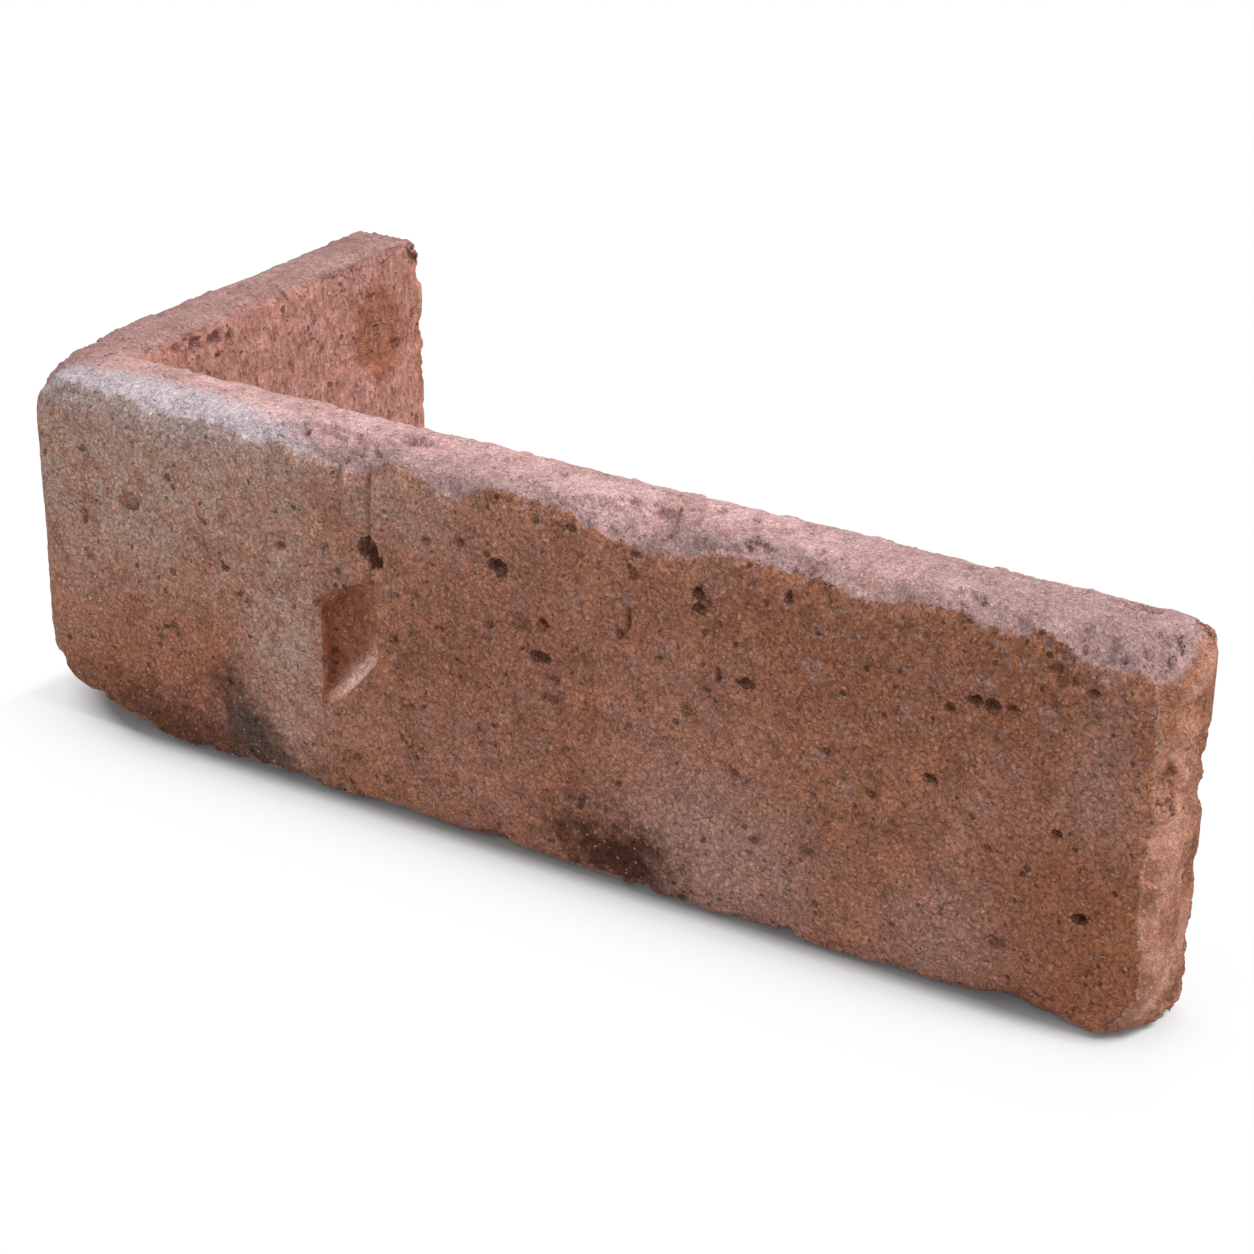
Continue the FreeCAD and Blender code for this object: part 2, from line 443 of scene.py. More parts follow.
# Where along the stretcher the fold of clay runs, up and down beside the dent.
FOLD_ALONG = 75.9
# The dent's left side along the stretcher, and how high its foot and its head are there.
DENT_LEFT = 64.9
DENT_FOOT = 17.1
DENT_HEAD = 37.0
# How far, in millimetres, a broken arris drops below the skin at the break.
ARRIS_LIP = 0.4
# Each face that an arris belongs to: how the depth below it is named, and the way into the slip from it.
INWARD = ("inward", Vector((0, 1, 0)))
FROM_HEADER_END = ("from_header_end", Vector((0, -1, 0)))
ALONG = ("along", Vector((1, 0, 0)))
FROM_END = ("from_end", Vector((-1, 0, 0)))
BELOW_TOP = ("below_top", Vector((0, 0, -1)))
UP = ("up", Vector((0, 0, 1)))


# How much of the easing the dent is spared, from 0 to 1.
DENT_CRISPNESS = 0.94


def soften(sheet, rounds):
    """Ease the straight facets of the solid into soft rounds, all but the dent's crisp sides."""
    place = sheet.place()
    dent = place.along.step(61.0, 64.0) * place.along.step(82.0, 79.0) * place.up.step(46.0, 43.0)
    dent = dent * place.up.step(12.0, 15.0) * place.inward.step(8.0, 6.0)
    position = sheet.node("GeometryNodeInputPosition").out("Position")
    values = {"Value": position, "Iterations": rounds, "Weight": 1.0 - dent * DENT_CRISPNESS}
    eased = sheet.node("GeometryNodeBlurAttribute", values, data_type="FLOAT_VECTOR").out("Value")
    moved = sheet.node("GeometryNodeSetPosition", {"Geometry": sheet.geometry, "Position": eased})
    sheet.geometry = moved.out("Geometry")


# What roughens the slip: the size of each one's lumps, and its height, in millimetres.
WAVES = (24.0, 0.8)
LUMPS = (5.0, 0.45)
GRIT = (1.6, 0.9)
CHIPS = (6.5, 2.6)
SPLINTERS = (2.3, 0.55)
TORN_ENDS = (6.0, 3.2)
DRAGS = (2.0, 2.4)
NIBBLES = (4.0, 4.4)
# How far the arrises of the sawn faces are blunted, before they are nibbled.
BLUNTED = 1.3
# Where the torn step runs on the header's sawn face, and how deep it is.
LEDGE_UP = 43.0
LEDGE_DEPTH = 1.2
# How much deeper the right part of the dent is pressed.
DENT_DEEPENED = 1.3
# The most that roughness may stand proud of the solid.
MOST_OUTWARD = 0.45


def wear_arrises(sheet, wear):
    """Knock the square arrises back to ragged, chipped slants."""
    # Each row: the two faces that meet, each with how steeply the slant leans towards it, the usual cut in
    # millimetres or the place and the points of a curve of cuts, and how uneven and how ragged the cut is.
    rows = [
        (INWARD, 0.62, BELOW_TOP, 1.0, ("along", UPPER_WEAR), 0.4, 2.0),
        (INWARD, 0.5, UP, 1.0, ("along", LOWER_WEAR), 1.9, 2.4),
        (INWARD, 0.7, FROM_END, 1.0, ("up", END_WEAR), 0.8, 3.0),
        (ALONG, 1.0, BELOW_TOP, 1.0, ("inward", HEADER_WEAR), 1.6, 1.6),
        (ALONG, 0.7, UP, 1.0, 2.2, 2.8, 1.6),
        (FROM_END, 1.0, BELOW_TOP, 0.6, 2.8, 1.6, 1.8),
        (FROM_END, 0.6, BELOW_TOP, 1.0, 2.8, 1.6, 1.8),
        (FROM_END, 1.0, UP, 1.0, 2.0, 3.0, 1.8),
        (FROM_HEADER_END, 1.0, BELOW_TOP, 0.5, 3.6, 1.6, 1.4),
        (FROM_HEADER_END, 0.5, BELOW_TOP, 1.0, 3.6, 1.6, 1.4),
        (FROM_HEADER_END, 1.0, UP, 1.0, 2.2, 2.4, 1.8),
        (FROM_HEADER_END, 1.0, ALONG, 1.0, 2.6, 2.4, 1.8),
    ]
    for i, ((first, first_in), lean, (second, second_in), rise, cut, uneven, ragged) in enumerate(rows):
        place = sheet.place()
        spot = sheet.moved(place.at, 31.0 * i, 17.0 * i, 7.0 * i)
        usual = sheet.curve(getattr(place, cut[0]), cut[1]) if isinstance(cut, tuple) else cut
        depth = usual + sheet.uneven(spot, 11.0, 2 * uneven, 3.0, 0.6)
        depth = depth + sheet.uneven(spot, 2.4, 2 * ragged, 4.0, 0.7)
        short = (depth * wear - getattr(place, first) * lean - getattr(place, second) * rise).most(0.0)
        lip = short.step(0.0, 0.35) * ARRIS_LIP
        push = short / (lean * lean + rise * rise) + lip
        sheet.shift(sheet.scaled(tuple(first_in * lean + second_in * rise), push))


def wear_sawn_arrises(sheet):
    """Blunt and nibble the crisp arrises of the two sawn faces."""
    for second, second_in in (("below_top", -1.0), ("up", 1.0)):
        place = sheet.place()
        past_header = place.along.step(HEADER_THICKNESS - 4.0, HEADER_THICKNESS + 1.0)
        past_stretcher = place.inward.step(STRETCHER_THICKNESS - 4.0, STRETCHER_THICKNESS + 1.0)
        nibble = sheet.uneven(place.at, *NIBBLES, 4.0, 0.75) + BLUNTED
        # The header's sawn arris is torn deeper by the inner corner.
        torn = place.inward.step(46.0, 24.0) * (sheet.noise(place.at, 4.0, 2.0) * 2.4)
        deep = getattr(place, second)
        behind = (STRETCHER_THICKNESS - place.inward).most(0.0)
        beside = (HEADER_THICKNESS - place.along).most(0.0)
        push_y = (nibble + 0.8 - behind - deep).most(0.0) * 0.5 * past_header
        push_x = (nibble + torn - beside - deep).most(0.0) * 0.5 * past_stretcher
        sheet.shift(sheet.join(push_x * -1.0, push_y * -1.0, push_y.most(push_x) * second_in))


def face_masks(place):
    """How far each point belongs to the skin, the beds, the sawn faces and the ends, each from 0 to 1."""
    skin = place.below_skin.step(1.2, 0.5)
    bed = place.below_top.least(place.up).step(1.4, 0.6) * (1.0 - skin)
    sawn = place.to_stretcher_bond.least(place.to_header_bond).step(1.4, 0.6) * (1.0 - skin) * (1.0 - bed)
    end = place.from_end.least(place.from_header_end).step(1.6, 0.8) * (1.0 - skin)
    return skin, bed, sawn, end


def hollows(sheet, place, size, height, shake_size, shake):
    """Hollows that meet at sharp ridges, as where clay has broken away."""
    away = sheet.cells(sheet.wandered(place.at, shake_size, shake), size)
    return (away * away - 0.25) * height


def roughen(sheet):
    """Move the points along their normals: waves, lumps, drag marks and torn ends, each on its own faces."""
    place = sheet.place()
    skin, bed, sawn, end = face_masks(place)
    broken = ((1.0 - skin) * (1.0 - bed) * (1.0 - sawn)).most(end)
    waves = sheet.uneven(place.at, *WAVES, 2.0)
    lumps = sheet.uneven(place.at, *LUMPS, 3.0, 0.6)
    grit = sheet.uneven(place.at, *GRIT, 3.0, 0.7) * (0.5 - bed * 0.2)
    chips = hollows(sheet, place, *CHIPS, 3.5, 1.4)
    splinters = hollows(sheet, place, *SPLINTERS, 1.5, 0.7)
    ends = end * sheet.uneven(place.at, *TORN_ENDS, 4.0, 0.65)
    # The saw and the wire drag the clay down the sawn faces.
    drag = sheet.uneven(sheet.stretched(place.at, 0.35), *DRAGS, 4.0, 0.68, 0.5)
    # A long torn step runs level across the header's sawn face.
    step_line = place.up - LEDGE_UP - sheet.uneven(place.at, 9.0, 7.0, 3.0)
    ledge = sawn * place.inward.step(66.0, 74.0) * step_line.step(-0.4, 0.6) * -LEDGE_DEPTH
    height = waves + lumps + grit
    height = height + (chips + splinters) * broken + ends + drag * sawn + ledge + moulding_marks(sheet, place)
    # The dent stays deep up to a crisp ragged right side.
    dent, _, _ = dent_masks(place, sheet.uneven(place.at, 3.0, 2.4, 3.0, 0.6))
    height = height - dent * place.along.step(66.0, 74.0) * DENT_DEEPENED
    # Points only move inward or a little outward, so the slip keeps its size.
    height = height.least(MOST_OUTWARD)
    sheet.shift(sheet.scaled(sheet.kept("way_out", "FLOAT_VECTOR"), height))


def moulding_marks(sheet, place):
    """A folded edge of clay beside the dent and the drawn streaks above it, on the stretcher face."""
    front = place.below_skin.step(1.6, 0.8) * place.inward.step(5.0, 3.0)
    fold_at = place.along - FOLD_ALONG - sheet.uneven(place.at, 4.0, 2.6, 3.0)
    fold = fold_at.step(-0.15, 0.35) * fold_at.step(4.5, 0.8)
    fold = fold * place.up.step(19.0, 24.0) * place.up.step(62.0, 58.0)
    gash = abs(fold_at + 0.4).step(0.45, 0.1) * place.up.step(48.5, 50.5) * place.up.step(61.0, 57.0)
    streaks = sheet.uneven(sheet.stretched(place.at, 0.12), 2.2, 1.0, 2.0)
    streaks = streaks * place.along.step(54.0, 62.0) * place.along.step(86.0, 77.0) * place.up.step(44.0, 54.0)
    return front * (fold * 0.5 - gash * 0.25 + streaks * 2.8)


def scatter_pores(sheet, density, seed, smallest, largest):
    """Points scattered over the slip, each with its reach and depth."""

    def chance(least, turn):
        values = {"Min": least, "Max": 1.0, "Seed": seed + turn}
        return sheet.node("FunctionNodeRandomValue", values, data_type="FLOAT").out("Value")

    def with_named(points, name, value, kind):
        values = {"Geometry": points, "Name": name, "Value": value}
        stored = sheet.node("GeometryNodeStoreNamedAttribute", values, data_type=kind, domain="POINT")
        return stored.out("Geometry")

    values = {"Mesh": sheet.geometry, "Density": density, "Seed": seed}
    points = sheet.node("GeometryNodeDistributePointsOnFaces", values, distribute_method="RANDOM").out("Points")
    # Most pores are small.
    radius = chance(0.0, 1) ** 2.2 * (largest - smallest) + smallest
    reach = sheet.join(radius, radius, radius * chance(0.55, 2))
    points = with_named(points, "reach", reach, "FLOAT_VECTOR")
    return with_named(points, "depth", radius * 1.15, "FLOAT")


def press_pits(sheet, cloud):
    """Push the points near each mark of a cloud inwards, and return how deep in a pit each point is, 0 to 1."""
    position = sheet.node("GeometryNodeInputPosition").out("Position")
    values = {"Geometry": cloud, "Sample Position": position}
    index = sheet.node("GeometryNodeSampleNearest", values, domain="POINT").out("Index")

    def of_nearest(value, kind):
        values = {"Geometry": cloud, "Value": value, "Index": index}
        return sheet.node("GeometryNodeSampleIndex", values, data_type=kind, domain="POINT").out("Value")

    centre = of_nearest(position, "FLOAT_VECTOR")
    reach = of_nearest(sheet.kept("reach", "FLOAT_VECTOR"), "FLOAT_VECTOR")
    depth = of_nearest(sheet.kept("depth"), "FLOAT")
    away = sheet.scaled(sheet.vector_math("SUBTRACT", position, centre), 1 / MM)
    share = sheet.vector_math("LENGTH", sheet.vector_math("DIVIDE", away, reach), result="Value")
    place = sheet.place()
    ragged = sheet.uneven(place.at, 1.3, 1.3, 3.0, 0.65)
    inside = (share + ragged).step(1.0, 0.62)
    sheet.shift(sheet.scaled(sheet.kept("way_out", "FLOAT_VECTOR"), inside * depth * -1.0))
    return inside


# Half the width, in millimetres, of the smallest and the largest of the scattered pores.
SMALLEST_PORE = 0.4
LARGEST_PORE = 1.2


def weathering(settings, marks):
    """The whole weathering tree."""
    sheet = Wearing("Brick weathering")
    soften(sheet, settings.softening)
    wear_arrises(sheet, settings.arris_wear)
    wear_sawn_arrises(sheet)
    sheet.keep("way_out", sheet.node("GeometryNodeInputNormal").out("Normal"), "FLOAT_VECTOR")
    pores = scatter_pores(sheet, settings.pore_density, settings.seed, SMALLEST_PORE, LARGEST_PORE)
    roughen(sheet)
    listed = sheet.node("GeometryNodeObjectInfo", {"Object": marks}).out("Geometry")
    listed = sheet.node("GeometryNodeMeshToPoints", {"Mesh": listed}).out("Points")
    in_listed = press_pits(sheet, listed)
    sheet.keep("pit", in_listed)
    in_pore = press_pits(sheet, pores)
    sheet.keep("pit", in_pore.most(sheet.kept("pit")))
    return sheet.close()


def weather(piece, settings):
    """Wear, roughen and pit the remeshed slip."""
    marks = pit_marks()
    only_selected(piece)
    modifier = piece.modifiers.new("Weathering", "NODES")
    modifier.node_group = weathering(settings, marks)
    bpy.ops.object.modifier_apply(modifier=modifier.name)
    bpy.data.objects.remove(marks)


def thin_out(piece, most_triangles):
    """Bring the piece under its number of triangles, keeping more of them where the surface is rough."""
    triangles = sum(len(face.vertices) - 2 for face in piece.data.polygons)
    if triangles > most_triangles:
        put_modifier(piece, "DECIMATE", ratio=most_triangles / triangles)


# The side of the square map, in the slip's millimetres.
MAP_SIDE = 262.0


def map_charts():
    """Where each side of the slip lies on the map.

    Each row: the axis that the side faces, its place on that axis, the axes that lie across and up on the map,
    where the side starts on them, and where that start lies on the map, in millimetres.
    """
    x, y, z = 0, 1, 2
    past_stretcher = (STRETCHER_THICKNESS, 0.0)
    return [
        (y, 0.0, (x, z), (0.0, 0.0), (2.0, 2.0)),
        (y, STRETCHER_THICKNESS, (x, z), (HEADER_THICKNESS, 0.0), (2.0, 70.0)),
        (y, WIDTH, (x, z), (0.0, 0.0), (207.0, 70.0)),
        (x, 0.0, (y, z), (0.0, 0.0), (2.0, 138.0)),
        (x, HEADER_THICKNESS, (y, z), past_stretcher, (108.0, 138.0)),
        (x, LENGTH, (y, z), (0.0, 0.0), (198.0, 138.0)),
        (z, HEIGHT, (x, y), (0.0, 0.0), (2.0, 206.0)),
        (z, 0.0, (x, y), (0.0, 0.0), (2.0, 226.0)),
        (z, HEIGHT, (y, x), past_stretcher, (2.0, 246.0)),
        (z, 0.0, (y, x), past_stretcher, (92.0, 246.0)),
    ]


def lay_out_map(piece):
    """Give the piece its own map, with each side of the slip laid flat in its place on one square."""
    mesh = piece.data
    points = np.empty(len(mesh.vertices) * 3, np.float32)
    mesh.vertices.foreach_get("co", points)
    points = (points.reshape(-1, 3) - np.array(SLIP_LOW)) / MM
    centres = np.empty(len(mesh.polygons) * 3, np.float32)
    mesh.polygons.foreach_get("center", centres)
    centres = (centres.reshape(-1, 3) - np.array(SLIP_LOW)) / MM
    charts = map_charts()
    depths = np.stack([np.abs(centres[:, axis] - level) for axis, level, _, _, _ in charts])
    # The beds are two strips each, one for the stretcher and one for the header.
    on_header = centres[:, 1] > STRETCHER_THICKNESS
    depths[6:8, on_header] = np.inf
    depths[8:10, ~on_header] = np.inf
    chart_of_face = depths.argmin(axis=0)
    corner_counts = np.empty(len(mesh.polygons), np.int32)
    mesh.polygons.foreach_get("loop_total", corner_counts)
    chart_of_corner = np.repeat(chart_of_face, corner_counts)
    point_of_corner = np.empty(len(mesh.loops), np.int32)
    mesh.loops.foreach_get("vertex_index", point_of_corner)
    places = np.zeros((len(mesh.loops), 2), np.float32)
    for i, (_, _, axes, first, start) in enumerate(charts):
        chosen = chart_of_corner == i
        for side in range(2):
            across = points[point_of_corner[chosen], axes[side]] - first[side]
            places[chosen, side] = (across + start[side]) / MAP_SIDE
    mesh.uv_layers.new(name="OFBake")
    mesh.uv_layers["OFBake"].data.foreach_set("uv", places.ravel())


class BRICKSLIP_OT_model(bpy.types.Operator):
    """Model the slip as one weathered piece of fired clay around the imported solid"""

    bl_idname = "brick_slip.model"
    bl_label = "Model the Slip"

    def execute(self, context):
        settings = context.scene.brick_slip_shape
        piece = copied_solid()
        put_modifier(piece, "REMESH", mode="VOXEL", voxel_size=settings.voxel_size)
        weather(piece, settings)
        thin_out(piece, settings.most_triangles)
        lay_out_map(piece)
        piece.data.attributes.remove(piece.data.attributes["way_out"])
        only_selected(piece)
        bpy.ops.object.shade_smooth()
        piece.data.materials.append(fired_clay(context.scene.brick_slip_colours))
        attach(piece, "root")
        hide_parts("corner_slip")
        return {"FINISHED"}


# --- the slip's finish --------------------------------------------------------------------------------------


# Soft patches on the stretcher face, under the colour that they are painted in. Each has its centre and its
# reach, both (along, up) in millimetres, then its softness, its raggedness and its strength.
PATCHES = {
    "umber": [
        ((178.0, 52.0), (40.0, 13.0), 0.6, 0.4, 1.0),
        ((102.0, 35.0), (16.0, 18.0), 0.7, 0.5, 0.6),
    ],
    "haze": [
        ((21.0, 63.0), (48.0, 32.0), 0.75, 0.7, 1.0),
        ((68.0, 59.0), (22.0, 11.0), 0.5, 0.4, 0.6),
        ((56.5, 29.0), (8.0, 26.0), 0.6, 0.3, 0.9),
    ],
    "pale_rose": [
        ((141.0, 10.5), (17.0, 13.0), 0.7, 0.4, 1.0),
        ((186.5, 11.0), (12.0, 9.0), 0.6, 0.4, 0.7),
        ((205.0, 41.0), (4.5, 16.0), 0.7, 0.4, 0.5),
    ],
    "rust_stain": [
        ((33.0, 16.0), (22.0, 13.0), 0.6, 0.4, 0.55),
        ((204.0, 16.0), (17.0, 20.0), 0.6, 0.4, 1.0),
    ],
    "singe": [
        ((123.0, 6.0), (11.0, 6.0), 0.8, 1.1, 1.0),
        ((32.0, 4.0), (22.0, 6.5), 0.8, 1.0, 0.75),
        ((44.0, 15.5), (4.0, 4.0), 0.8, 1.0, 0.6),
    ],
}
# How strongly single grains, small lumps and the lumps of torn clay vary the tone.
GRAIN_CONTRAST = 3.1
LUMP_CONTRAST = 0.9
TORN_CONTRAST = 1.8
# How much painted shade darkens pits, small pores and the upper parts of sharp pits.
PIT_SHADE = 0.22
PORE_SHADE = 0.58
HOLE_SHADE = 0.5
# The height of the finest relief, in metres.
RELIEF_HEIGHT = 1.3 * MM


class Grain:
    """The noises that the whole finish shares, from broad clouds down to single grains."""

    def __init__(self, sheet, at):
        self.broad = sheet.noise(at, 30.0, 3.0, 0.55)
        self.middle = sheet.noise(at, 9.0, 4.0, 0.6)
        self.small = sheet.noise(at, 2.6, 4.0, 0.65)
        self.fine = sheet.noise(at, 0.75, 3.0, 0.7, 1.0)
        self.ragged = (self.small - 0.5) * 1.8 + (self.middle - 0.5) * 0.9


class Coat:
    """A colour that others are painted over in turn."""

    def __init__(self, sheet, colours, mask, first, second):
        self.sheet = sheet
        self.colours = colours
        self.colour = sheet.mixed(mask, self.named(first), self.named(second))

    def named(self, name):
        return colour_of(getattr(self.colours, name))

    def paint(self, mask, colour):
        """Paint a colour, by its name or worked out, as strongly as the mask says."""
        colour = self.named(colour) if isinstance(colour, str) else colour
        self.colour = self.sheet.mixed(mask, self.colour, colour)


def patches(place, name, ragged):
    """Where the patches of that name lie, from 0 to 1."""
    mask = None
    for centre, reach, soft, raggedness, strength in PATCHES[name]:
        x = (place.along - centre[0]) / reach[0]
        z = (place.up - centre[1]) / reach[1]
        away = (x * x + z * z).root() + ragged * raggedness
        patch = away.step(1.0 + soft, 1.0 - soft) * strength
        mask = patch if mask is None else mask.most(patch)
    return mask


def dent_masks(place, ragged):
    """The inside of the dent, its left side for painted shade and the slope at its foot for painted light, from
    0 to 1.
    """
    beyond = (place.along - DENT_LEFT).most(0.0)
    foot = place.up - DENT_FOOT - beyond ** 1.5 * 0.27 + ragged * 0.4
    head = place.up - DENT_HEAD - beyond * 0.46 + ragged * 0.3
    inside = place.along.step(DENT_LEFT - 0.1, DENT_LEFT + 0.4) * (place.along + ragged).step(77.3, 76.7)
    inside = inside * foot.step(-0.6, 0.2) * head.step(0.6, -0.4) * place.inward.step(8.0, 6.0)
    shade = inside * place.along.step(80.0, 64.0) * foot.step(1.5, 8.0)
    slope = inside * foot.step(6.0, 1.0) * place.along.step(65.4, 71.0)
    wall = inside * place.along.step(67.2, 65.6)
    return inside, shade.most(wall), slope


def soot_mask(place, ragged):
    """The slanted kiln mark low on the stretcher face."""
    x = (place.along - 49.5 + (place.up - 8.0) * 0.45) / 5.6
    z = (place.up - 7.0) / 7.5
    return ((x * x + z * z).root() + ragged * 0.9).step(1.7, 0.3)


def skin_colour(sheet, place, colours, grain, dent):
    """The moulded skin: orange to brown clay with its haze, pale patches, stains and kiln marks, and the dent
    with its painted shade and painted light.
    """
    ragged = grain.ragged
    coat = Coat(sheet, colours, grain.middle.step(0.32, 0.68), "skin_brown", "skin_orange")
    coat.paint(grain.broad.step(0.42, 0.62) * 0.6, "skin_rose")
    coat.paint(patches(place, "umber", ragged) * 0.6, "umber")
    fleck = sheet.noise(sheet.moved(place.at, 41.0, 7.0, 19.0), 3.6, 4.0, 0.62, 0.8)
    coat.paint(fleck.step(0.5, 0.66) * 0.45, "ochre")
    coat.paint(fleck.step(0.47, 0.33) * 0.6, "lilac")
    spot = sheet.noise(sheet.moved(place.at, 3.0, 57.0, 29.0), 5.0, 4.0, 0.66, 0.6)
    coat.paint(spot.step(0.52, 0.68) * 0.55, "umber_dark")
    haze = patches(place, "haze", ragged) * (0.95 - spot.step(0.4, 0.65) * 0.6)
    coat.paint(haze.least(0.85), "haze")
    coat.paint(patches(place, "pale_rose", ragged) * 0.7, "pale_rose")
    coat.paint(patches(place, "rust_stain", ragged) * 0.6, "rust_stain")
    coat.paint((patches(place, "singe", ragged) * 0.92).least(1.0), "singe")
    coat.paint(soot_mask(place, ragged) * 0.92, "scorch")
    # The skin turns grey and dusty just under the broken arris, most of all by the outer corner.
    dusty = (place.below_top + ragged * 2.4).step(9.0, 3.0) * place.along.step(75.0, 40.0)
    coat.paint(dusty * 0.6, "bloom_skin")
    # In the dent the skin is painted browner, partly as painted shade and partly as its clean clay; its deep
    # left side gets painted shade over a stain, and the upward slope at its foot gets painted light.
    inside, shade, slope = dent
    coat.paint(inside * 0.7, "skin_brown")
    coat.paint(shade * 0.62, "dent_shade")
    coat.paint(slope * 0.85, "dent_lit_slope")
    return coat.colour


def bed_colour(sheet, place, colours, grain):
    """The beds: rose clay, greyer where the arris is broken, with a lime bloom by the outer corner."""
    coat = Coat(sheet, colours, grain.middle.step(0.3, 0.7), "bed", "bed_pale")
    on_header = place.inward.step(14.0, 26.0).most(place.along.step(22.0, 8.0))
    coat.paint(on_header * 0.75, "bed_header")
    worn = (place.inward + grain.ragged * 2.2).step(7.5, 1.0).most(place.along.step(140.0, 200.0) * 0.8)
    coat.paint((worn * (0.6 + grain.small * 0.6)).least(0.9), "bed_dust")
    rust = sheet.noise(sheet.moved(place.at, 11.0, 23.0, 5.0), 6.0, 4.0, 0.65)
    coat.paint(rust.step(0.55, 0.72) * 0.5, "bed_rust")
    bloom_away = (place.along - 31.0) / 32.0
    bloom = (bloom_away * bloom_away + (place.inward / 8.0) ** 2.0 + grain.ragged * 0.9).step(1.5, 0.3)
    coat.paint((bloom * (0.45 + grain.small)).least(0.95), "bloom")
    return coat.colour


def sawn_colour(sheet, place, colours, grain):
    """The sawn faces: rosy clay, with a dark patch high on the header by its free end."""
    coat = Coat(sheet, colours, grain.small.step(0.3, 0.7), "sawn", "sawn_rose")
    up = (place.up - 48.0) / 11.0
    inward = (place.inward - 88.0) / 9.0
    smudge = (up * up + inward * inward + grain.ragged * 0.5).step(1.2, 0.3) * place.along.step(8.0, 12.0)
    coat.paint(smudge * 0.8, "smudge")
    return coat.colour


class Areas:
    """How far each point shows the skin, the beds, the sawn faces, the ends and torn clay, each from 0 to 1."""

    def __init__(self, place, grain, pit, inside_dent):
        tear = (grain.small - 0.5) * 0.7
        in_pit = pit.step(0.2, 0.7) * place.below_skin.step(4.5, 3.5)
        self.skin = (place.below_skin + tear).step(0.95, 0.6).most(inside_dent).most(in_pit)
        self.bed = (place.below_top + tear * 2.0).step(7.0, 4.0).most((place.up + tear).step(2.0, 1.0))
        sawn = (place.to_stretcher_bond.least(place.to_header_bond) + tear * 0.5).step(1.8, 1.2)
        self.sawn = sawn * place.below_top.step(0.6, 1.6) * place.below_skin.step(2.0, 4.0)
        end = (place.from_end.least(place.from_header_end) + tear).step(3.0, 2.2)
        # The upper corner of the end is broken back to the clay of the bed.
        under_corner = place.below_top + grain.ragged * 3.0 + place.inward.step(12.0, 2.0) * -4.0
        self.end = end * under_corner.step(1.0, 4.0)
        self.torn = (1.0 - self.skin) * (1.0 - self.sawn) * (1.0 - self.bed * 0.6)
        # Grains show less off the skin.
        self.calm = 1.0 - (1.0 - self.skin) * 0.35


def clay_colour(sheet, place, colours, grain, areas, dent):
    """Each area in its own colour, with a painted highlight and rubbed wear on the edge of the skin beside the
    stretcher's end.
    """
    coat = Coat(sheet, colours, grain.middle.step(0.35, 0.7), "body", "body_rose")
    body = coat.colour
    coat.paint(areas.bed, bed_colour(sheet, place, colours, grain))
    coat.paint(areas.sawn, sawn_colour(sheet, place, colours, grain))
    coat.paint(areas.end, body)
    coat.paint(areas.skin, skin_colour(sheet, place, colours, grain, dent))
    # A painted highlight, with some rubbed wear, runs along the skin's broken edge by the stretcher's end.
    rim = areas.skin * (1.0 - areas.skin) * place.below_top.step(4.0, 8.0) * place.from_end.step(14.0, 5.0)
    coat.paint(rim * 2.2, "worn_rim_highlight")
    return coat.colour


def pores_and_specks(sheet, place, grain, areas):
    """Small open pores, larger in some places than in others, and pale grains of sand, from 0 to 1."""
    at = place.at
    shaken = sheet.wandered(at, 1.2, 0.22)
    pores = (sheet.noise(at, 6.0, 2.0) - 0.38) * 0.8 - sheet.cells(sheet.moved(shaken, 5.3, 2.1, 7.7), 2.9)
    pricks = (sheet.noise(at, 3.0, 2.0) - 0.3) * 0.75 - sheet.cells(sheet.moved(shaken, 1.3, 8.1, 3.7), 1.15)
    pores = pores.step(-0.03, 0.05).most(pricks.step(-0.06, 0.08) * 0.7) * (1.0 - areas.torn * 0.75)
    specks = (sheet.cells(shaken, 1.5) + (grain.fine - 0.5) * 0.4).step(0.2, 0.1)
    return pores, specks


def open_holes(sheet, place, ragged):
    """The sharp rims of the deepest face pits, and the painted shade under their upper sides, from 0 to 1."""
    front = place.below_skin.step(4.0, 3.0)
    hole = front * 0.0
    shade = front * 0.0
    for along, up, half_width, half_height, depth in FACE_PITS:
        if depth < SHARP_PIT_DEPTH:
            continue
        away = sheet.vector_math("SUBTRACT", place.at, (along, 0.0, up))
        share = sheet.vector_math("MULTIPLY", away, (1.0 / half_width, 0.0, 1.0 / half_height))
        edge = sheet.vector_math("LENGTH", share, result="Value") + ragged
        inside = edge.step(1.08, 0.88)
        hole = hole.most(inside)
        shade = shade.most(inside * sheet.split(share)[2].step(-1.3, 0.5))
    return hole * front, shade * front


def clay_tone(place, grain, grit, areas, marks):
    """How light or dark the clay is, about 1, before its pits and pores."""
    tone = (grit - 0.5) * areas.calm * GRAIN_CONTRAST + (grain.small - 0.5) * LUMP_CONTRAST
    # The moulding marks tint the tone by their height, so the fold and the streaks are painted lighter and the
    # gash darker, as painted light and shade.
    tone = tone + (grain.middle - 0.5) * areas.torn * TORN_CONTRAST + marks * 0.2 + 1.05
    # The skin is a little lighter towards the outer corner, and torn clay is darkened near the floor with
    # painted shade.
    tone = tone * (1.0 + areas.skin * place.along.step(90.0, 55.0) * 0.1)
    return tone * (1.0 - areas.torn * place.up.step(34.0, 8.0) * 0.15)


